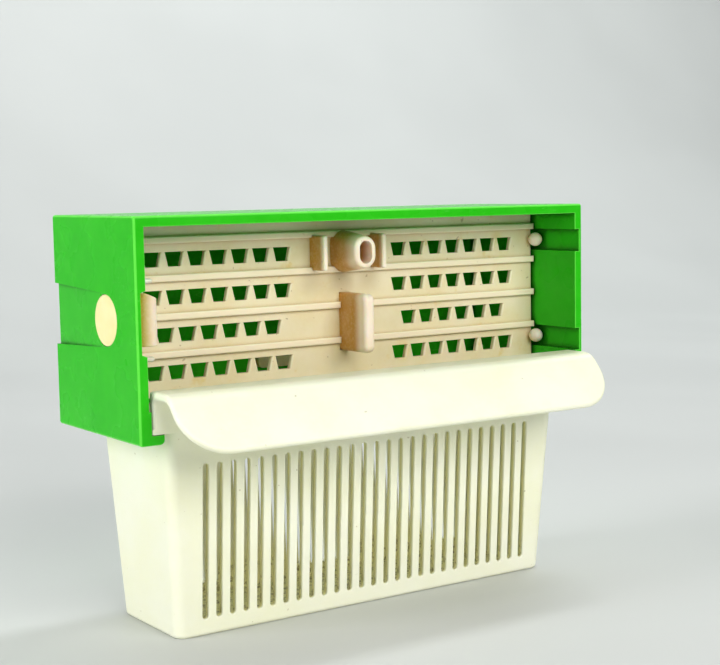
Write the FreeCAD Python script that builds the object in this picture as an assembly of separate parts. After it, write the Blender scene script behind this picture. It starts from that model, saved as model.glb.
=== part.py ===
"""Slotted basket drawer that hangs in an open-front housing, with a slotted plate that slides behind it.

Millimetres, +Z up, +X to the right seen from the front, -Y towards the front. The origin is the centre of
the whole object's footprint, on the surface that the basket stands on.
"""
import FreeCAD, Part

import math
import os

from FreeCAD import Vector

# Whole object
total_height = 166.7
housing_width = 222.6
housing_height = 86.5
housing_depth = 76.5
lip_reach = 30.1

# Housing walls
side_wall = 4.3
top_wall = 4.2
rear_wall = 2.5
shell_edge_radius = 1.2
inner_edge_radius = 0.5
flange_reach = 10.4
flange_thickness = 3.8
rail_thickness = 0.9
rail_height = 9.1

# Left wall: a round button in a hole, a channel inside in front of it and a ramp outside behind it
button_depth = 27.1
button_drop = 40.4
button_radius = 10.1
hole_radius = 10.2
thin_wall = 2.2
channel_half_height = 11.6
channel_taper = 0.8
ramp_depth = 2.0
ramp_front_half_height = 10.4
ramp_rear_half_height = 12.7

# Right wall: two channels for the ball pegs
ball_channel_depth = 2.5
ball_channel_half_height = 4.9
ball_channel_length = 44.0
ball_radius = 3.15
ball_drops = (16.4, 61.2)

# Block on the inside of the rear wall
rear_block_half_width = 17.8
rear_block_top_drop = 64.0
rear_block_bottom_drop = 70.6
rear_block_thickness = 3.0

# Slotted plate
plate_depth = 29.5
plate_thickness = 2.2
plate_side_gap = 0.4
plate_top_drop = 4.5
plate_edge_radius = 1.2
plate_bottom_drop = 72.8
rib_drops = (10.3, 25.5, 40.8, 55.9)
rib_height = 2.8
rib_proud = 1.9
hole_pitch = 10.0
hole_top_width = 8.0
hole_bottom_width = 5.2
hole_height = 5.9
row_drops = (15.1, 30.3, 45.35, 60.4)
long_row_starts = (-93.6, 26.2)
short_row_starts = (-88.6, 31.2)
tooth_radius = 0.9

# Guide tube, fins and paddle in the middle of the plate
tube_drop = 17.9
tube_front = 10.7
tube_end_half = (5.4, 6.6)
tube_base_half = (5.8, 9.5)
tube_bore_half = (3.0, 4.75)
tube_mouth_radius = 1.6
fin_offset = 14.9
fin_thickness = 2.2
fin_front = 18.4
fin_top_drop = 10.7
fin_bottom_drop = 25.4
paddle_offset = 1.0
paddle_thickness = 5.4
paddle_front = 9.9
paddle_top_drop = 35.5
paddle_bottom_drop = 60.4

# Left end of the plate: side cheek, half-round grip and two small stop pegs
cheek_gap = 0.3
cheek_thickness = 1.8
cheek_front = 10.5
cheek_rear = 39.5
cheek_half_height = 17.3
grip_front = 4.2
grip_radius = 4.9
grip_top_rise = 11.3
grip_bottom_fall = 9.0
grip_level_length = 3.6
grip_end_drop = 2.5
stop_peg_radius = 1.05
stop_peg_reach = 8.1
stop_peg_depth = 15.5
stop_peg_offset = 15.1

# Basket
base_half_width = 93.2
base_front = 9.7
base_rear = 59.7
side_flare = 0.0583
front_flare = 0.0655
rear_flare = 0.0554
tub_wall = 2.5
floor_thickness = 2.5
tub_corner_radius = 5.0
tub_corner_taper = 0.012
tub_foot_radius = 1.8
slot_count = 27
slot_pitch = 6.23
slot_width = 2.6
slot_bottom = 6.9
slot_top = 69.8
slot_edge_radius = 0.4

# Collar and pull lip
collar_half_width = 105.6
collar_foot_reach = 0.4
collar_foot_height = 2.2
collar_wall = 3.3
collar_clearance = 0.2
rim_thickness = 2.2
rim_rear_reach = 3.0
lip_thickness = 3.0
lip_edge_radius = 1.3
lip_inner_radius = 2.5
lip_top = 100.6
lip_shoulder = 8.2
lip_radius = 9.2
lip_angle = 48.6
lip_corner_radius = 18.8

# Derived places, measured from the housing's front face and from the ground
housing_bottom = total_height - housing_height
inner_half_width = housing_width / 2 - side_wall
flange_top = housing_bottom + flange_thickness
tub_top = flange_top + collar_clearance
plate_half_width = inner_half_width - plate_side_gap
middle_depth = (housing_depth - lip_reach) / 2


def at_drop(drop):
    """Height above the ground of a level given as its drop below the housing's top."""
    return total_height - drop


def block(x0, x1, y0, y1, z0, z1):
    return Part.makeBox(x1 - x0, y1 - y0, z1 - z0, Vector(x0, y0, z0))


def closed_face(points):
    corners = [Vector(*p) for p in points]
    return Part.Face(Part.makePolygon(corners + corners[:1]))


def rod_x(x0, x1, y, z, radius):
    return Part.makeCylinder(radius, x1 - x0, Vector(x0, y, z), Vector(1, 0, 0))


def rod_y(x, y0, y1, z, radius):
    return Part.makeCylinder(radius, y1 - y0, Vector(x, y0, z), Vector(0, 1, 0))


def fuse_all(shapes):
    return shapes[0].multiFuse(shapes[1:]).removeSplitter() if len(shapes) > 1 else shapes[0]


def rounded_wire(z, x0, x1, y0, y1, radius):
    """Rounded rectangle in the plane at height z."""
    face = closed_face([(x0, y0, z), (x1, y0, z), (x1, y1, z), (x0, y1, z)])
    solid = face.extrude(Vector(0, 0, 1))
    upright = [e for e in solid.Edges if abs(e.Vertexes[0].X - e.Vertexes[1].X) < 1e-6
               and abs(e.Vertexes[0].Y - e.Vertexes[1].Y) < 1e-6]
    solid = solid.makeFillet(radius, upright)
    return [f for f in solid.Faces if f.CenterOfMass.z < z + 1e-6][0].OuterWire


def oval_wire(y, x, z, half_x, half_z):
    """Upright oval: two half-rounds joined by straight sides."""
    straight = half_z - half_x
    top_left = Vector(x - half_x, y, z + straight)
    top_right = Vector(x + half_x, y, z + straight)
    bottom_left = Vector(x - half_x, y, z - straight)
    bottom_right = Vector(x + half_x, y, z - straight)
    return Part.Wire([
        Part.Arc(top_left, Vector(x, y, z + half_z), top_right).toShape(),
        Part.LineSegment(top_right, bottom_right).toShape(),
        Part.Arc(bottom_right, Vector(x, y, z - half_z), bottom_left).toShape(),
        Part.LineSegment(bottom_left, top_left).toShape(),
    ])


# ---------------------------------------------------------------- housing

def left_wall_cuts():
    """Channel, round hole, counterbore and outer ramp of the left wall."""
    outer = -housing_width / 2
    z = at_drop(button_drop)
    narrow = channel_half_height
    wide = channel_half_height + channel_taper
    section = closed_face([(outer + thin_wall, -1, z - narrow), (outer + side_wall, -1, z - wide),
                           (outer + side_wall, -1, z + wide), (outer + thin_wall, -1, z + narrow)])
    channel = section.extrude(Vector(0, button_depth + 1, 0))
    hole = rod_x(outer - 1, outer + side_wall + 1, button_depth, z, hole_radius)
    counterbore = rod_x(outer + thin_wall, outer + side_wall + 1, button_depth, z, channel_half_height)
    front_z = ramp_front_half_height
    rear_z = ramp_rear_half_height
    rear = housing_depth + 1
    front_edge = closed_face([(outer - 2, button_depth, z - front_z), (outer - 2, button_depth, z + front_z),
                              (outer, button_depth, z + front_z), (outer, button_depth, z - front_z)])
    inward = outer + ramp_depth
    rear_edge = closed_face([(outer - 2, rear, z - rear_z), (outer - 2, rear, z + rear_z),
                             (inward, rear, z + rear_z), (inward, rear, z - rear_z)])
    ramp = Part.makeLoft([front_edge.OuterWire, rear_edge.OuterWire], True, True)
    return [channel, hole, counterbore, ramp]


def right_wall_cuts():
    """Open-ended channels that the ball pegs run in."""
    cuts = []
    for drop in ball_drops:
        z = at_drop(drop)
        low = z - ball_channel_half_height
        high = z + ball_channel_half_height
        channel_floor = inner_half_width + ball_channel_depth
        cuts.append(block(inner_half_width - 1, channel_floor, -1, ball_channel_length, low, high))
    return cuts


def make_flange(side):
    """Ledge along the foot of a side wall that the basket's rim rests on, and the low guide rail above it."""
    half = housing_width / 2
    depth = housing_depth - rear_wall / 2
    x0, x1 = sorted((side * (inner_half_width + side_wall / 2), side * (half - flange_reach)))
    ledge = block(x0, x1, 0, depth, housing_bottom, flange_top)
    toe = [e for e in ledge.Edges if e.BoundBox.ZMax < housing_bottom + 1e-3
           and abs(abs(e.CenterOfMass.x) - (half - flange_reach)) < 1e-6]
    ledge = ledge.makeFillet(flange_thickness / 2, toe)
    x0, x1 = sorted((side * (inner_half_width + side_wall / 2), side * (inner_half_width - rail_thickness)))
    return ledge.fuse(block(x0, x1, 0, depth, flange_top - 0.5, flange_top + rail_height))


def on_outer_edge(vertex):
    """True where a vertex lies on the housing's side or top plane."""
    return abs(abs(vertex.X) - housing_width / 2) < 1e-3 or abs(vertex.Z - total_height) < 1e-3


def make_housing():
    half = housing_width / 2
    outer = block(-half, half, 0, housing_depth, housing_bottom, total_height)
    cavity = block(-inner_half_width, inner_half_width, -1, housing_depth - rear_wall,
                   housing_bottom - 1, total_height - top_wall)
    shell = outer.cut(cavity).multiFuse([make_flange(-1), make_flange(1)]).removeSplitter()
    outline = [e for e in shell.Edges if all(on_outer_edge(v) for v in e.Vertexes)]
    shell = shell.makeFillet(shell_edge_radius, outline).cut(left_wall_cuts() + right_wall_cuts())
    opening = [e for e in shell.Edges if e.BoundBox.YMax < 0.01
               and e.CenterOfMass.z < total_height - top_wall / 2
               and abs(e.CenterOfMass.x) < half - shell_edge_radius - 0.1]
    return shell.makeFillet(inner_edge_radius, opening)


def make_rear_block():
    rear = housing_depth - rear_wall
    plate = block(-rear_block_half_width, rear_block_half_width, rear - rear_block_thickness, rear,
                  at_drop(rear_block_bottom_drop), at_drop(rear_block_top_drop))
    corners = [e for e in plate.Edges if abs(e.Vertexes[0].Y - e.Vertexes[1].Y) > 1]
    return plate.makeFillet(2.2, corners)


def make_side_button():
    """Flush disc with a thin retaining flange behind the wall."""
    outer = -housing_width / 2
    z = at_drop(button_drop)
    disc = rod_x(outer, outer + thin_wall + 1.0, button_depth, z, button_radius)
    rim = [e for e in disc.Edges if abs(e.CenterOfMass.x - outer) < 1e-6]
    disc = disc.makeFillet(0.5, rim)
    flange = rod_x(outer + thin_wall + 0.1, outer + thin_wall + 1.0, button_depth, z, button_radius + 1.1)
    return fuse_all([disc, flange])


# ---------------------------------------------------------------- slotted plate

def hole(left, drop):
    """One trapezoid opening, wide at the top."""
    z1 = at_drop(drop)
    z0 = z1 - hole_height
    inset = (hole_top_width - hole_bottom_width) / 2
    front = plate_depth - 0.5
    outline = closed_face([(left + inset, front, z0), (left + hole_top_width - inset, front, z0),
                           (left + hole_top_width, front, z1), (left, front, z1)])
    return outline.extrude(Vector(0, plate_thickness + 1.0, 0))


def plate_holes():
    holes = []
    for row, drop in enumerate(row_drops):
        short = row == 2
        for start in short_row_starts if short else long_row_starts:
            for k in range(6 if short else 7):
                holes.append(hole(start + k * hole_pitch, drop))
    return holes


def rib(x0, x1, drop):
    """Half-proud horizontal rib with rounded front edges."""
    bar = block(x0, x1, plate_depth - rib_proud, plate_depth + 0.3,
                at_drop(drop) - rib_height / 2, at_drop(drop) + rib_height / 2)
    front = [e for e in bar.Edges if abs(e.CenterOfMass.y - (plate_depth - rib_proud)) < 1e-6]
    return bar.makeFillet(0.7, front)


def plate_ribs():
    ribs = []
    left = -plate_half_width + cheek_thickness
    right = plate_half_width
    for drop in rib_drops[:2]:
        ribs.append(rib(left, right, drop))
    for drop in rib_drops[2:]:
        ribs.append(rib(left, paddle_offset - paddle_thickness / 2, drop))
        ribs.append(rib(paddle_offset + paddle_thickness / 2, right, drop))
    return ribs


def tube_outer():
    base = oval_wire(plate_depth + plate_thickness, 0, at_drop(tube_drop), *tube_base_half)
    end = oval_wire(tube_front, 0, at_drop(tube_drop), *tube_end_half)
    return Part.makeLoft([base, end], True, True)


def tube_bore():
    face = Part.Face(oval_wire(tube_front - 1, 0, at_drop(tube_drop), *tube_bore_half))
    return face.extrude(Vector(0, plate_depth + plate_thickness - tube_front + 2, 0))


def cheek_box():
    wall = -inner_half_width
    z = at_drop(button_drop)
    return block(wall + cheek_gap, wall + cheek_gap + cheek_thickness, cheek_front, cheek_rear,
                 z - cheek_half_height, z + cheek_half_height)


def make_slotted_plate():
    z0 = at_drop(plate_bottom_drop)
    z1 = at_drop(plate_top_drop)
    plate = block(-plate_half_width, plate_half_width, plate_depth, plate_depth + plate_thickness, z0, z1)
    ends = [e for e in plate.Edges if abs(e.CenterOfMass.y - plate_depth) < 1e-6
            and abs(e.Vertexes[0].Z - e.Vertexes[1].Z) > 1]
    plate = plate.makeFillet(plate_edge_radius, ends)
    plate = plate.cut(plate_holes())
    webs = [e for e in plate.Edges if abs(e.CenterOfMass.y - plate_depth) < 1e-6
            and 1 < abs(e.Vertexes[0].X - e.Vertexes[1].X) < 3]
    plate = plate.makeFillet(tooth_radius, webs)
    plate = plate.multiFuse(plate_ribs())
    cuts = [tube_outer(), cheek_box(), paddle_box(), fin_box(-1), fin_box(1)]
    for drop in ball_drops:
        cuts.append(rod_y(ball_x(), plate_depth - 1, plate_depth + plate_thickness + 1, at_drop(drop), 1.6))
    return plate.cut(cuts)


def make_guide_tube():
    """Flared tube with an oval bore and a well rounded mouth."""
    tube = tube_outer()
    mouth = [e for e in tube.Edges if e.BoundBox.YMax < tube_front + 0.01]
    tube = tube.makeFillet(tube_mouth_radius, mouth).cut(tube_bore())
    bore = [e for e in tube.Edges if e.BoundBox.YMax < tube_front + 0.01
            and abs(e.CenterOfMass.x) < tube_bore_half[0] + 0.01
            and abs(e.CenterOfMass.z - at_drop(tube_drop)) < tube_bore_half[1] + 0.01]
    return tube.makeFillet(0.3, bore)


def fin_x0(side):
    return side * fin_offset - fin_thickness / 2


def fin_box(side):
    return block(fin_x0(side), fin_x0(side) + fin_thickness, fin_front, plate_depth + plate_thickness,
                 at_drop(fin_bottom_drop), at_drop(fin_top_drop))


def round_nose(flat, front, nose_radius, rim_radius):
    """Flat upright piece with a round front edge and softened outline; front is the depth of its nose."""
    nose = [e for e in flat.Edges if abs(e.CenterOfMass.y - front) < 1e-6
            and abs(e.Vertexes[0].Z - e.Vertexes[1].Z) < 1e-6]
    flat = flat.makeFillet(nose_radius, nose)
    box = flat.BoundBox
    rim = [e for e in flat.Edges if e.BoundBox.YMax < plate_depth + plate_thickness + 1e-3
           and e.BoundBox.YMin < plate_depth
           and (abs(e.CenterOfMass.x - box.XMin) < 1e-6 or abs(e.CenterOfMass.x - box.XMax) < 1e-6)
           and not (e.BoundBox.YMax > plate_depth and abs(e.Vertexes[0].Z - e.Vertexes[-1].Z) > 1)]
    return flat.makeFillet(rim_radius, rim)


def make_fin(side):
    return round_nose(fin_box(side), fin_front, 0.8, 0.9)


def paddle_box():
    x0 = paddle_offset - paddle_thickness / 2
    return block(x0, x0 + paddle_thickness, paddle_front, plate_depth + plate_thickness,
                 at_drop(paddle_bottom_drop), at_drop(paddle_top_drop))


def make_paddle():
    return round_nose(paddle_box(), paddle_front, 3.0, 1.9)


def ball_x():
    return inner_half_width + ball_channel_depth - 0.35 - ball_radius


def make_ball_peg(drop):
    """Ball in front of the plate's right edge, on a neck pressed through the plate."""
    x = ball_x()
    z = at_drop(drop)
    y = plate_depth - ball_radius - 0.2
    ball = Part.makeSphere(ball_radius, Vector(x, y, z))
    neck = rod_y(x, y, plate_depth + plate_thickness, z, 1.6)
    return fuse_all([ball, neck])


# ---------------------------------------------------------------- left end of the plate

def make_cheek():
    cheek = cheek_box()
    corners = [e for e in cheek.Edges if abs(e.Vertexes[0].X - e.Vertexes[1].X) > 1]
    cheek = cheek.makeFillet(2.0, corners)
    x = -inner_half_width
    z = at_drop(button_drop)
    for side in (-1, 1):
        cheek = cheek.cut(rod_x(x, x + 5, stop_peg_depth, z + side * stop_peg_offset, stop_peg_radius - 0.4))
    return cheek


def make_grip():
    """Half-round upright bar in front of the cheek, with a level foot and a top that falls to the right."""
    x0 = -housing_width / 2 + thin_wall + 0.3
    x1 = x0 + 2 * grip_radius
    z = at_drop(button_drop)
    arc = Part.Arc(Vector(x0, cheek_front, 0), Vector((x0 + x1) / 2, grip_front, 0),
                   Vector(x1, cheek_front, 0)).toShape()
    base = Part.LineSegment(Vector(x1, cheek_front, 0), Vector(x0, cheek_front, 0)).toShape()
    bar = Part.Face(Part.Wire([arc, base])).extrude(Vector(0, 0, grip_top_rise + grip_bottom_fall))
    bar.translate(Vector(0, 0, z - grip_bottom_fall))
    front = grip_front - 1
    low = z - grip_bottom_fall
    high = z + grip_top_rise
    outline = closed_face([(x0, front, low), (x1, front, low), (x1, front, high - grip_end_drop),
                           (x0 + grip_level_length, front, high), (x0, front, high)])
    bar = bar.common(outline.extrude(Vector(0, 20, 0)))
    ends = [e for e in bar.Edges if e.Curve.TypeId in ("Part::GeomCircle", "Part::GeomEllipse")]
    return bar.makeFillet(0.5, ends)


def make_stop_peg(side):
    """Small round-ended dowel with a spigot in the cheek."""
    face = -inner_half_width + cheek_gap + cheek_thickness
    z = at_drop(button_drop) + side * stop_peg_offset
    shaft = rod_x(face, face + stop_peg_reach - stop_peg_radius, stop_peg_depth, z, stop_peg_radius)
    end = Part.makeSphere(stop_peg_radius, Vector(face + stop_peg_reach - stop_peg_radius, stop_peg_depth, z))
    spigot = rod_x(face - cheek_thickness, face + 1, stop_peg_depth, z, stop_peg_radius - 0.4)
    return fuse_all([shaft, end, spigot])


# ---------------------------------------------------------------- basket

def tub_section(z, inset):
    half = base_half_width + side_flare * z - inset
    front = base_front - front_flare * z + inset
    rear = base_rear + rear_flare * z - inset
    return rounded_wire(z, -half, half, front, rear, tub_corner_radius - tub_corner_taper * z - inset * 0.8)


def slot_cutter(x, y0, y1):
    bottom = slot_bottom + slot_width / 2
    top = slot_top - slot_width / 2
    half = slot_width / 2
    outline = Part.Wire([
        Part.Arc(Vector(x + half, y0, bottom), Vector(x, y0, slot_bottom),
                 Vector(x - half, y0, bottom)).toShape(),
        Part.LineSegment(Vector(x - half, y0, bottom), Vector(x - half, y0, top)).toShape(),
        Part.Arc(Vector(x - half, y0, top), Vector(x, y0, slot_top), Vector(x + half, y0, top)).toShape(),
        Part.LineSegment(Vector(x + half, y0, top), Vector(x + half, y0, bottom)).toShape(),
    ])
    return Part.Face(outline).extrude(Vector(0, y1 - y0, 0))


def on_front_face(edge):
    """True for an edge that lies in the tub's sloping outer front face."""
    return all(abs(v.Y - base_front + front_flare * v.Z) < 1e-3 for v in edge.Vertexes)


def make_basket_tub():
    outer = Part.makeLoft([tub_section(0, 0), tub_section(tub_top, 0)], True, True)
    foot = [e for e in outer.Edges if e.BoundBox.ZMax < 0.01]
    outer = outer.makeFillet(tub_foot_radius, foot)
    inner = Part.makeLoft([tub_section(floor_thickness, tub_wall), tub_section(tub_top + 1, tub_wall)],
                          True, True)
    tub = outer.cut(inner)
    slots = []
    for k in range(slot_count):
        x = (k - (slot_count - 1) / 2) * slot_pitch
        slots.append(slot_cutter(x, -5, 25))
        slots.append(slot_cutter(x, 45, 75))
    tub = tub.cut(slots)
    mouths = [e for e in tub.Edges if e.BoundBox.ZMin > slot_bottom - 0.5 and e.BoundBox.ZMax < slot_top + 0.5
              and on_front_face(e)]
    return tub.makeFillet(slot_edge_radius, mouths)


def lip_profile():
    """Front wall, shoulder, arc and straight slope of the pull lip, as one closed outline in the YZ plane."""
    turn = math.radians(lip_angle)
    mid = turn / 2
    centre_y = -lip_shoulder
    centre_z = lip_top - lip_radius

    def on_arc(radius, angle):
        return Vector(0, centre_y - radius * math.sin(angle), centre_z + radius * math.cos(angle))

    inner_radius = lip_radius - lip_thickness
    slope = (lip_reach - lip_shoulder - lip_radius * math.sin(turn)) / math.cos(turn)
    along = Vector(0, -math.cos(turn), -math.sin(turn)) * slope
    outer_end = on_arc(lip_radius, turn) + along
    inner_end = on_arc(inner_radius, turn) + along
    back_top = Vector(0, collar_wall, lip_top)
    back_bottom = Vector(0, collar_wall, tub_top)
    front_bottom = Vector(0, 0, tub_top)
    front_top = Vector(0, 0, lip_top - lip_thickness)
    edges = [
        Part.LineSegment(back_bottom, back_top).toShape(),
        Part.LineSegment(back_top, on_arc(lip_radius, 0)).toShape(),
        Part.Arc(on_arc(lip_radius, 0), on_arc(lip_radius, mid), on_arc(lip_radius, turn)).toShape(),
        Part.LineSegment(on_arc(lip_radius, turn), outer_end).toShape(),
        Part.LineSegment(outer_end, inner_end).toShape(),
        Part.LineSegment(inner_end, on_arc(inner_radius, turn)).toShape(),
        Part.Arc(on_arc(inner_radius, turn), on_arc(inner_radius, mid), on_arc(inner_radius, 0)).toShape(),
        Part.LineSegment(on_arc(inner_radius, 0), front_top).toShape(),
        Part.LineSegment(front_top, front_bottom).toShape(),
        Part.LineSegment(front_bottom, back_bottom).toShape(),
    ]
    return Part.Face(Part.Wire(edges))


def span_x(edge):
    return edge.BoundBox.XMax - edge.BoundBox.XMin


def make_pull_lip():
    """Front wall and curved lip with round edges all along its outline, on a slightly wider foot."""
    lip = lip_profile().extrude(Vector(2 * collar_half_width, 0, 0))
    lip.translate(Vector(-collar_half_width, 0, 0))
    across_tip = [e for e in lip.Edges if span_x(e) < 0.01 and abs(e.Length - lip_thickness) < 1e-3
                  and e.CenterOfMass.y < -lip_shoulder - lip_radius]
    lip = lip.makeFillet(lip_corner_radius, across_tip)
    inner_corner = [e for e in lip.Edges if span_x(e) > 50 and abs(e.CenterOfMass.y) < 1e-3
                    and e.CenterOfMass.z > lip_top - lip_thickness - 1e-3]
    lip = lip.makeFillet(lip_inner_radius, inner_corner)
    ends = [e for e in lip.Edges if span_x(e) < 0.01 and abs(abs(e.CenterOfMass.x) - collar_half_width) < 1e-6
            and abs(e.Length - lip_thickness) > 1e-3]
    corners = [e for e in lip.Edges if 5 < span_x(e) < 30]
    tip = [e for e in lip.Edges if span_x(e) > 50 and e.CenterOfMass.y < -lip_reach + lip_thickness]
    top_rear = [e for e in lip.Edges if span_x(e) > 50 and e.CenterOfMass.y > 1
                and e.CenterOfMass.z > lip_top - 1]
    lip = lip.makeFillet(lip_edge_radius, ends + corners + tip + top_rear)
    reach = collar_half_width + collar_foot_reach
    foot = block(-reach, reach, 0, collar_wall, tub_top, tub_top + collar_foot_height)
    foot_ends = [e for e in foot.Edges if span_x(e) < 0.01]
    return lip.fuse(foot.makeFillet(0.5, foot_ends)).removeSplitter()


def make_rim():
    """Flat rim that rests on the housing's flanges and joins the tub to the front wall."""
    front = collar_wall
    rear = base_rear + rear_flare * tub_top + rim_rear_reach
    reach = collar_half_width + collar_foot_reach
    rim = block(-reach, reach, front, rear, tub_top, tub_top + rim_thickness)
    mouth = Part.Face(tub_section(tub_top, tub_wall)).extrude(Vector(0, 0, rim_thickness + 2))
    mouth.translate(Vector(0, 0, -1))
    rim = rim.cut(mouth)
    corners = [e for e in rim.Edges if abs(e.Vertexes[0].Z - e.Vertexes[-1].Z) > 1
               and e.CenterOfMass.y > rear - 0.1]
    return rim.makeFillet(3.0, corners)


# ---------------------------------------------------------------- output

def main():
    os.makedirs("parts", exist_ok=True)
    nodes = {
        "housing": make_housing(),
        "rear_block": make_rear_block(),
        "side_button": make_side_button(),
        "slotted_plate": make_slotted_plate(),
        "guide_tube": make_guide_tube(),
        "left_fin": make_fin(-1),
        "right_fin": make_fin(1),
        "centre_paddle": make_paddle(),
        "upper_ball_peg": make_ball_peg(ball_drops[0]),
        "lower_ball_peg": make_ball_peg(ball_drops[1]),
        "side_cheek": make_cheek(),
        "grip_bar": make_grip(),
        "upper_stop_peg": make_stop_peg(1),
        "lower_stop_peg": make_stop_peg(-1),
        "basket_tub": make_basket_tub(),
        "basket_rim": make_rim(),
        "pull_lip": make_pull_lip(),
    }
    for name, shape in nodes.items():
        shape.translate(Vector(0, -middle_depth, 0))
        box = shape.BoundBox
        print(f"{name:16s} solids {len(shape.Solids)} valid {shape.isValid()} volume {shape.Volume:9.1f} "
              f"x {box.XMin:7.1f} {box.XMax:7.1f} y {box.YMin:6.1f} {box.YMax:6.1f} "
              f"z {box.ZMin:6.1f} {box.ZMax:6.1f}")
        shape.exportStep(f"parts/{name}.step")


main()
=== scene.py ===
"""Looks, lights and camera for a slotted basket drawer under an open-front green housing.

Everything is in metres in the CAD frame: +Z up, -Y towards the front and the pull lip.
"""
import math

import bpy
from mathutils import Matrix, Vector


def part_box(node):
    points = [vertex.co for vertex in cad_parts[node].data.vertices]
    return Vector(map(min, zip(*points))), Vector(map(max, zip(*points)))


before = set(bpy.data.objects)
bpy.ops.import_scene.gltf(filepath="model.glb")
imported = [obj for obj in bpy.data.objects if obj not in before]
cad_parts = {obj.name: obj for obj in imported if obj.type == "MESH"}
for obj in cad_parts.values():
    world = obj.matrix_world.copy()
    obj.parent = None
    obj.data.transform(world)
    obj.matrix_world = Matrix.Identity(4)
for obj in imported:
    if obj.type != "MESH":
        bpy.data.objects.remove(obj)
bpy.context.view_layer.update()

MM = 0.001
WHITE = (1.0, 1.0, 1.0)
housing_low, housing_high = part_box("housing")
housing_width = housing_high.x - housing_low.x
plate_low, plate_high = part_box("slotted_plate")
tub_low, tub_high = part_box("basket_tub")
tub_points = [v.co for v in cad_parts["basket_tub"].data.vertices]
foot_points = [p for p in tub_points if p.z < 3 * MM]
foot_front = min(p.y for p in foot_points)
foot_rear = max(p.y for p in foot_points)
foot_half_width = max(p.x for p in foot_points)
# How far the tub's front wall leans out for each unit of height
front_slope = (foot_front - tub_low.y) / tub_high.z
tub_corner_radius = 6 * MM
middle_height = 90 * MM


# ---------------------------------------------------------------- material graphs

class Graph:
    """One procedural plastic: a Principled shader and the nodes that feed it."""

    def __init__(self, name):
        self.material = bpy.data.materials.new(name)
        self.material.use_nodes = True
        self.tree = self.material.node_tree
        self.shader = self.tree.nodes["Principled BSDF"]
        self.place = self.add("ShaderNodeTexCoord").outputs["Object"]

    def add(self, kind, **settings):
        node = self.tree.nodes.new(kind)
        for key, value in settings.items():
            setattr(node, key, value)
        return node

    def feed(self, socket, value):
        if hasattr(value, "is_linked"):
            self.tree.links.new(value, socket)
        else:
            socket.default_value = value

    def where(self, shift=(0, 0, 0), stretch=(1, 1, 1), turn=(0, 0, 0)):
        """Object coordinates, shifted, turned and stretched."""
        node = self.add("ShaderNodeMapping")
        self.feed(node.inputs["Vector"], self.place)
        node.inputs["Location"].default_value = shift
        node.inputs["Rotation"].default_value = turn
        node.inputs["Scale"].default_value = stretch
        return node.outputs["Vector"]

    def noise(self, size, detail=2.0, rough=0.5, shift=(0, 0, 0), stretch=(1, 1, 1), turn=(0, 0, 0)):
        """Noise whose features measure about size metres."""
        node = self.add("ShaderNodeTexNoise")
        self.feed(node.inputs["Vector"], self.where(shift, stretch, turn))
        node.inputs["Scale"].default_value = 1 / size
        node.inputs["Detail"].default_value = detail
        node.inputs["Roughness"].default_value = rough
        return node.outputs["Fac"]

    def band(self, value, low, high, to_low=0.0, to_high=1.0):
        """value mapped smoothly from low..high to to_low..to_high."""
        node = self.add("ShaderNodeMapRange", interpolation_type="SMOOTHSTEP")
        self.feed(node.inputs["Value"], value)
        node.inputs["From Min"].default_value = low
        node.inputs["From Max"].default_value = high
        node.inputs["To Min"].default_value = to_low
        node.inputs["To Max"].default_value = to_high
        return node.outputs["Result"]

    def maths(self, operation, a, b=0.0):
        node = self.add("ShaderNodeMath", operation=operation)
        self.feed(node.inputs[0], a)
        self.feed(node.inputs[1], b)
        return node.outputs[0]

    def blend(self, share, a, b):
        """Colour a turning into colour b by share."""
        node = self.add("ShaderNodeMix", data_type="RGBA")
        self.feed(node.inputs["Factor"], share)
        self.feed(node.inputs["A"], a)
        self.feed(node.inputs["B"], b)
        return node.outputs["Result"]

    def along(self, axis):
        """One coordinate of the place on the surface."""
        node = self.add("ShaderNodeSeparateXYZ")
        self.feed(node.inputs[0], self.place)
        return node.outputs["XYZ".index(axis)]

    def near(self, centre, radius, softness):
        """1 inside a ball round centre, fading to 0 over the outer share softness of its radius."""
        node = self.add("ShaderNodeVectorMath", operation="DISTANCE")
        self.feed(node.inputs[0], self.place)
        node.inputs[1].default_value = centre
        return self.band(node.outputs["Value"], radius * (1 - softness), radius, 1.0, 0.0)

    def most(self, masks):
        """The greatest of several masks."""
        greatest = masks[0]
        for mask in masks[1:]:
            greatest = self.maths("MAXIMUM", greatest, mask)
        return greatest

    def tint(self, colour, mask, share, other):
        """colour turning into the colour other by share where mask is 1."""
        return self.blend(self.maths("MULTIPLY", mask, share), colour, other)

    def rounded(self):
        """1 on rounded edges, more than 26 degrees off every axis, and 0 on faces square to an axis."""
        node = self.add("ShaderNodeSeparateXYZ")
        self.feed(node.inputs[0], self.add("ShaderNodeTexCoord").outputs["Normal"])
        sizes = [self.maths("ABSOLUTE", node.outputs[axis]) for axis in range(3)]
        return self.band(self.most(sizes), 0.985, 0.90)

    def creases(self, reach):
        """1 where less than half of the view within reach is clear, as in gaps, and 0 out in the open."""
        node = self.add("ShaderNodeAmbientOcclusion", samples=6)
        node.inputs["Distance"].default_value = reach
        return self.band(node.outputs["AO"], 0.90, 0.45)

    def bump(self, height, strength, distance, normal=None):
        node = self.add("ShaderNodeBump")
        node.inputs["Strength"].default_value = strength
        node.inputs["Distance"].default_value = distance
        self.feed(node.inputs["Height"], height)
        if normal is not None:
            self.feed(node.inputs["Normal"], normal)
        return node.outputs["Normal"]

    def finish(self, colour, roughness, normal, **constants):
        self.feed(self.shader.inputs["Base Color"], colour)
        self.feed(self.shader.inputs["Roughness"], roughness)
        self.feed(self.shader.inputs["Normal"], normal)
        for key, value in constants.items():
            self.shader.inputs[key.replace("_", " ")].default_value = value
        return self.material


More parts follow.
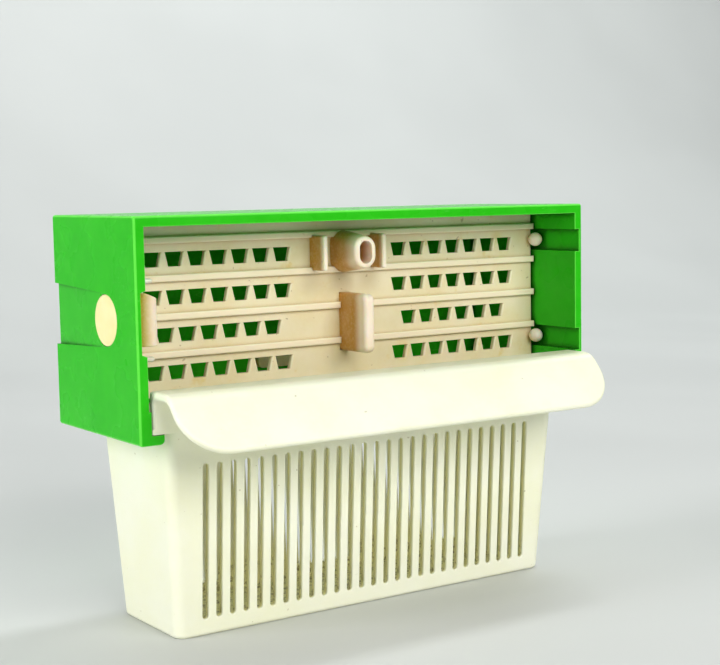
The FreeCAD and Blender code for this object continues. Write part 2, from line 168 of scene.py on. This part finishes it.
def rgb(red, green, blue):
    """Linear colour from display values of 0 to 255."""
    def linear(v):
        v /= 255
        return v / 12.92 if v <= 0.04045 else ((v + 0.055) / 1.055) ** 2.4
    return (linear(red), linear(green), linear(blue), 1.0)


def scratches(graph, size, turn, shift, share):
    """Sparse thin lines along one direction: contour lines of noise drawn out lengthwise, in patches."""
    drawn_out = (0.045, 1.0, 1.0)
    line_width = 0.006
    lines = graph.noise(size, 1.0, 0.4, shift, drawn_out, turn)
    off_line = graph.maths("ABSOLUTE", graph.maths("SUBTRACT", lines, 0.5))
    ridge = graph.band(off_line, 0.0, line_width, 1.0, 0.0)
    patch = graph.band(graph.noise(size * 9, 1.0, 0.5, shift), 1 - share, 1 - share + 0.06)
    return graph.maths("MULTIPLY", ridge, patch)


def green_plastic():
    g = Graph("green_gloss")
    cloud = g.noise(0.045, 3.0, 0.55)
    mottle = g.noise(0.006, 3.0, 0.6, (0.3, 0.1, 0.7))
    colour = g.blend(g.band(cloud, 0.3, 0.7), rgb(38, 186, 20), rgb(46, 193, 26))
    colour = g.blend(g.band(mottle, 0.35, 0.75, 0.0, 0.25), colour, rgb(62, 205, 38))
    marks = g.most([
        scratches(g, 0.0035, (0.3, 0.5, 0.9), (0.2, 0.4, 0.1), 0.42),
        scratches(g, 0.003, (1.1, 0.2, 2.0), (0.7, 0.1, 0.5), 0.40),
        scratches(g, 0.004, (0.1, 1.3, 0.4), (0.5, 0.9, 0.2), 0.36),
    ])
    colour = g.tint(colour, marks, 0.16, rgb(120, 222, 100))
    # Painted highlight: rounded edges are lightened to a pale green.
    colour = g.tint(colour, g.rounded(), 0.7, rgb(112, 236, 84))
    # Painted shade: creases and inner corners are darkened to a deep green.
    colour = g.tint(colour, g.creases(4 * MM), 0.9, rgb(6, 78, 2))
    haze = g.band(g.noise(0.018, 2.0, 0.5, (1.3, 0.2, 0.4)), 0.3, 0.7, 0.25, 0.31)
    roughness = g.maths("ADD", haze, g.maths("MULTIPLY", marks, 0.25))
    skin = g.bump(g.noise(0.0012, 2.0, 0.5), 0.03, 0.0004)
    skin = g.bump(marks, 0.08, -0.00005, skin)
    return g.finish(colour, roughness, skin, IOR=1.5, Specular_IOR_Level=0.12)


def cream_plastic():
    g = Graph("cream_aged")
    cloud = g.noise(0.03, 4.0, 0.6, (0.2, 0.2, 0.2))
    grain = g.noise(0.0016, 3.0, 0.6)
    colour = g.blend(g.band(cloud, 0.3, 0.72), rgb(238, 226, 194), rgb(230, 214, 168))
    colour = g.blend(g.band(grain, 0.3, 0.8, 0.0, 0.3), colour, rgb(238, 226, 196))
    blots = g.band(g.noise(0.011, 3.0, 0.65, (0.9, 0.3, 0.6)), 0.62, 0.74)
    # Yellow stains: x and z in mm from the plate's lower left corner, then radius in mm and softness
    stains = [g.near(plate_low + Vector((x, 0, z)) * MM, radius * MM, softness)
              for x, z, radius, softness in ((192, 58, 5, 0.8), (138, 10, 7, 0.9), (14, 48, 4, 0.8))]
    colour = g.tint(colour, g.most([blots] + stains), 0.5, rgb(226, 196, 104))
    # Painted shadow: brown-grey patches on the plate below the guide tube and the fins, where their shade
    # falls
    painted_shadow_level = plate_high.z - 26 * MM
    painted_shadows = [g.near((x * MM, plate_low.y, painted_shadow_level), 9 * MM, 0.95) for x in (-16, 0, 14)]
    colour = g.tint(colour, g.most(painted_shadows), 0.35, rgb(172, 148, 100))
    specks = g.band(g.noise(0.0022, 1.0, 0.4, (0.4, 0.8, 0.1)), 0.76, 0.80)
    colour = g.tint(colour, specks, 0.5, rgb(150, 120, 70))
    # Painted light: the ribs standing in front of the plate face are lightened, as if lit on top.
    painted_lit_ribs = g.band(g.along("Y"), plate_low.y + 1.5 * MM, plate_low.y + 0.7 * MM)
    colour = g.tint(colour, painted_lit_ribs, 0.75, rgb(254, 236, 208))
    # Painted highlight: rounded edges of the holes and ribs are lightened.
    colour = g.tint(colour, g.rounded(), 0.6, rgb(252, 244, 216))
    # Painted shade: creases, such as under the ribs, are darkened to ochre.
    colour = g.tint(colour, g.creases(2 * MM), 0.4, rgb(176, 136, 60))
    roughness = g.band(g.noise(0.008, 3.0, 0.6), 0.3, 0.7, 0.42, 0.58)
    skin = g.bump(grain, 0.10, 0.0003)
    return g.finish(colour, roughness, skin, IOR=1.5, Subsurface_Weight=0.15,
                    Subsurface_Radius=(1.0, 0.55, 0.2), Subsurface_Scale=0.002)


def insert_plastic(name, axis, start, end, painted_shade):
    """Peach plastic of a piece set into the plate, with painted shade: pale at start, turning to the
    painted shade colour at end, two places on one axis.
    """
    g = Graph(name)
    cloud = g.noise(0.012, 3.0, 0.6, (0.1, 0.6, 0.3))
    pale = g.blend(g.band(cloud, 0.3, 0.7), rgb(255, 238, 222), rgb(252, 230, 206))
    # Painted shade: the colour darkens from start towards end, standing in for the shade on the sides of
    # the piece.
    depth = g.band(g.along(axis), start, end)
    depth = g.maths("MULTIPLY", depth, g.band(cloud, 0.2, 0.8, 0.86, 1.0))
    colour = g.blend(depth, pale, rgb(*painted_shade))
    # Painted shade: creases, such as the guide tube's bore and the feet of the pieces, take the painted
    # shade colour.
    colour = g.tint(colour, g.creases(4 * MM), 0.85, rgb(*painted_shade))
    grain = g.noise(0.0011, 2.0, 0.5)
    colour = g.blend(g.band(grain, 0.4, 0.8, 0.0, 0.15), colour, rgb(255, 240, 214))
    specks = g.band(g.noise(0.0018, 1.0, 0.4, (0.8, 0.1, 0.9)), 0.77, 0.81)
    colour = g.tint(colour, specks, 0.4, rgb(160, 122, 72))
    roughness = g.band(g.noise(0.005, 3.0, 0.6), 0.3, 0.7, 0.28, 0.40)
    skin = g.bump(grain, 0.06, 0.0003)
    return g.finish(colour, roughness, skin, IOR=1.5, Subsurface_Weight=0.35,
                    Subsurface_Radius=(1.0, 0.5, 0.16), Subsurface_Scale=0.0025)


def disc_plastic():
    g = Graph("button_disc")
    cloud = g.noise(0.014, 3.0, 0.6, (0.6, 0.6, 0.3))
    colour = g.blend(g.band(cloud, 0.3, 0.7), rgb(255, 244, 184), rgb(253, 236, 168))
    specks = g.band(g.noise(0.0016, 1.0, 0.4, (0.3, 0.7, 0.9)), 0.76, 0.80)
    colour = g.tint(colour, specks, 0.3, rgb(190, 160, 100))
    roughness = g.band(g.noise(0.004, 3.0, 0.6), 0.3, 0.7, 0.36, 0.48)
    skin = g.bump(g.noise(0.001, 2.0, 0.5), 0.05, 0.0003)
    return g.finish(colour, roughness, skin, IOR=1.5, Subsurface_Weight=0.2,
                    Subsurface_Radius=(1.0, 0.6, 0.25), Subsurface_Scale=0.002)


def clear_plastic():
    g = Graph("milky_peg")
    cloud = g.noise(0.003, 2.0, 0.5)
    colour = g.blend(g.band(cloud, 0.3, 0.7), rgb(250, 248, 236), rgb(240, 234, 212))
    roughness = g.band(g.noise(0.002, 2.0, 0.5, (0.4, 0.4, 0.4)), 0.3, 0.7, 0.12, 0.22)
    skin = g.bump(cloud, 0.05, 0.0002)
    return g.finish(colour, roughness, skin, IOR=1.5, Transmission_Weight=0.15, Subsurface_Weight=0.3,
                    Subsurface_Radius=(1.0, 0.8, 0.5), Subsurface_Scale=0.002)


def tub_inside(g):
    """1 on the tub's inner faces between its upright corners, 0 on its outer skin."""
    front_skin = g.maths("ADD", g.maths("MULTIPLY", g.along("Z"), -front_slope), foot_front)
    depth = g.maths("SUBTRACT", g.along("Y"), front_skin)
    flat_half_width = foot_half_width - tub_corner_radius
    across = g.band(g.maths("ABSOLUTE", g.along("X")), flat_half_width, flat_half_width - MM)
    inside = g.maths("MULTIPLY", g.band(depth, 0.6 * MM, 1.6 * MM), across)
    return g.maths("MULTIPLY", inside, g.band(g.along("Y"), foot_rear - MM, foot_rear - 2 * MM))


def ivory_plastic():
    g = Graph("ivory_basket")
    cloud = g.noise(0.04, 3.0, 0.55, (0.5, 0.1, 0.2))
    colour = g.blend(g.band(cloud, 0.3, 0.7), rgb(250, 251, 229), rgb(247, 248, 218))
    grain = g.noise(0.0014, 3.0, 0.6)
    colour = g.blend(g.band(grain, 0.4, 0.8, 0.0, 0.2), colour, rgb(252, 252, 236))
    inside = tub_inside(g)
    # Painted shade: the tub's inner faces are tinted olive-yellow, as they look in shade.
    colour = g.tint(colour, inside, 0.8, rgb(240, 234, 168))
    near_floor = g.maths("MULTIPLY", inside, g.band(g.along("Z"), 20 * MM, 5 * MM))
    dirt = g.band(g.noise(0.0028, 4.0, 0.7, (0.3, 0.3, 0.8)), 0.48, 0.62)
    colour = g.tint(colour, g.maths("MULTIPLY", dirt, near_floor), 0.7, rgb(104, 92, 46))
    specks = g.band(g.noise(0.0024, 1.0, 0.4, (0.2, 0.9, 0.4)), 0.785, 0.81)
    colour = g.tint(colour, specks, 0.45, rgb(170, 160, 110))
    marks = g.most([
        scratches(g, 0.003, (0.2, 0.6, 0.3), (0.1, 0.2, 0.8), 0.40),
        scratches(g, 0.0035, (0.9, 0.1, 1.4), (0.6, 0.8, 0.3), 0.38),
    ])
    colour = g.tint(colour, marks, 0.18, rgb(214, 212, 178))
    haze = g.band(g.noise(0.02, 4.0, 0.6, (0.9, 0.4, 0.1)), 0.35, 0.7, 0.30, 0.42)
    roughness = g.maths("ADD", haze, g.maths("MULTIPLY", marks, 0.15))
    skin = g.bump(grain, 0.05, 0.0003)
    skin = g.bump(marks, 0.2, -0.00004, skin)
    return g.finish(colour, roughness, skin, IOR=1.5, Subsurface_Weight=0.12,
                    Subsurface_Radius=(1.0, 0.9, 0.5), Subsurface_Scale=0.002)


# ---------------------------------------------------------------- CAD pieces

def dress(material, *nodes):
    """Gives CAD nodes their material."""
    for node in nodes:
        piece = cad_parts[node]
        piece.data.materials.clear()
        piece.data.materials.append(material)


def dress_inserts():
    """Peach pieces with painted shade: pale until clear mm behind their front tip, and in the painted
    shade colour from fade mm behind it.
    """
    inserts = (
        ("peach_tube", 0.5, 10, (194, 138, 20), ["guide_tube"]),
        ("peach_fin", 0.5, 3.5, (192, 136, 18), ["left_fin", "right_fin"]),
        ("peach_paddle", 3, 9, (196, 136, 18), ["centre_paddle"]),
        ("peach_ball", 4, 12, (252, 236, 200), ["upper_ball_peg", "lower_ball_peg"]),
        ("peach_block", 0, 2, (206, 160, 84), ["rear_block"]),
    )
    for name, clear, fade, painted_shade, nodes in inserts:
        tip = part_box(nodes[0])[0].y
        dress(insert_plastic(name, "Y", tip + clear * MM, tip + fade * MM, painted_shade), *nodes)
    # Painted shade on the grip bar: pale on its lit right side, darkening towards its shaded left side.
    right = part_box("grip_bar")[1].x
    dress(insert_plastic("peach_grip", "X", right - 1.5 * MM, right - 8 * MM, (190, 166, 30)), "grip_bar")


def dress_all():
    dress(green_plastic(), "housing")
    dress(cream_plastic(), "slotted_plate", "side_cheek")
    dress(disc_plastic(), "side_button")
    dress_inserts()
    dress(clear_plastic(), "upper_stop_peg", "lower_stop_peg")
    dress(ivory_plastic(), "basket_tub", "basket_rim", "pull_lip")


# ---------------------------------------------------------------- stage

def make_stage():
    """Pale floor that curves up into a pale backdrop."""
    reach = 2.2
    back = 1.6
    bend = 0.8
    height = 2.6
    half_width = 2.6
    steps = 16
    profile = [(-reach, 0.0), (back - bend, 0.0)]
    for k in range(1, steps + 1):
        angle = math.pi / 2 * k / steps
        profile.append((back - bend + bend * math.sin(angle), bend - bend * math.cos(angle)))
    profile.append((back, height))
    verts = [(x, y, z) for y, z in profile for x in (-half_width, half_width)]
    faces = [(2 * k, 2 * k + 1, 2 * k + 3, 2 * k + 2) for k in range(len(profile) - 1)]
    mesh = bpy.data.meshes.new("floor")
    mesh.from_pydata(verts, [], faces)
    mesh.shade_smooth()
    floor = bpy.data.objects.new("floor", mesh)
    bpy.context.scene.collection.objects.link(floor)
    g = Graph("pale_floor")
    shade = g.blend(g.band(g.noise(0.3, 2.0, 0.5), 0.3, 0.7), rgb(206, 209, 208), rgb(201, 204, 203))
    g.finish(shade, 0.55, g.bump(g.noise(0.002, 2.0, 0.5), 0.03, 0.0003))
    mesh.materials.append(g.material)


def soft_light(name, place, target, size, power, colour):
    data = bpy.data.lights.new(name, "AREA")
    data.shape = "RECTANGLE"
    data.size = size[0]
    data.size_y = size[1]
    data.energy = power
    data.color = colour
    lamp = bpy.data.objects.new(name, data)
    lamp.location = place
    lamp.rotation_mode = "QUATERNION"
    lamp.rotation_quaternion = (Vector(target) - Vector(place)).to_track_quat("-Z", "Y")
    bpy.context.scene.collection.objects.link(lamp)


def studio_world():
    """Pale surroundings to look at, which give only a weak warm fill light."""
    world = bpy.data.worlds.new("studio")
    world.use_nodes = True
    tree = world.node_tree
    fill = tree.nodes["Background"]
    fill.inputs["Color"].default_value = (1.0, 0.90, 0.66, 1.0)
    fill.inputs["Strength"].default_value = 0.05
    pale = tree.nodes.new("ShaderNodeBackground")
    pale.inputs["Color"].default_value = (0.80, 0.83, 0.82, 1.0)
    choose = tree.nodes.new("ShaderNodeMixShader")
    path = tree.nodes.new("ShaderNodeLightPath")
    tree.links.new(path.outputs["Is Camera Ray"], choose.inputs[0])
    tree.links.new(fill.outputs[0], choose.inputs[1])
    tree.links.new(pale.outputs[0], choose.inputs[2])
    tree.links.new(choose.outputs[0], tree.nodes["World Output"].inputs["Surface"])
    bpy.context.scene.world = world


def around(azimuth, elevation, distance):
    """Place at an azimuth to the right of straight in front of the object, and an elevation above it."""
    turn = math.radians(azimuth)
    rise = math.radians(elevation)
    return (distance * math.sin(turn) * math.cos(rise), -distance * math.cos(turn) * math.cos(rise),
            middle_height + distance * math.sin(rise))


def make_lights():
    middle = (0, 0, middle_height)
    soft_light("key", around(3, 29, 1.45), middle, (1.3, 0.8), 17.6, (1.0, 0.99, 0.97))
    soft_light("left", around(-100, 20, 1.3), middle, (0.45, 0.9), 10.0, WHITE)
    soft_light("edge", around(-60, 15, 1.3), middle, (0.25, 0.8), 1.6, WHITE)
    soft_light("top", (0.1, 0.1, 1.4), middle, (1.0, 1.0), 4.0, WHITE)
    soft_light("backdrop", (1.2, 0.45, 2.0), (1.2, 1.6, 0.7), (1.6, 0.6), 36.0, (0.97, 1.0, 1.0))
    studio_world()


def make_camera():
    """Camera to the left, level with the housing's top, measured in housing widths from its top corner."""
    yaw = math.radians(34.10)
    pitch = math.radians(5.51)
    roll = math.radians(-1.04)
    corner = Vector((housing_low.x, housing_low.y, housing_high.z))
    offset = Vector((-1.0833, -2.2648, 0.0388)) * housing_width
    forward = Vector((math.sin(yaw) * math.cos(pitch), math.cos(yaw) * math.cos(pitch),
                      -math.sin(pitch)))
    level = Vector((math.cos(yaw), -math.sin(yaw), 0))
    upright = level.cross(forward)
    right = math.cos(roll) * level + math.sin(roll) * upright
    up = -math.sin(roll) * level + math.cos(roll) * upright
    data = bpy.data.cameras.new("camera")
    data.sensor_width = 36.0
    data.lens = 74.7
    data.clip_start = 0.01
    data.clip_end = 50
    camera = bpy.data.objects.new("camera", data)
    turn = Matrix((right, up, -forward)).transposed().to_4x4()
    camera.matrix_world = Matrix.Translation(corner + offset) @ turn
    bpy.context.scene.collection.objects.link(camera)
    bpy.context.scene.camera = camera


dress_all()
make_stage()
make_lights()
make_camera()
bpy.context.scene.view_settings.view_transform = "Standard"
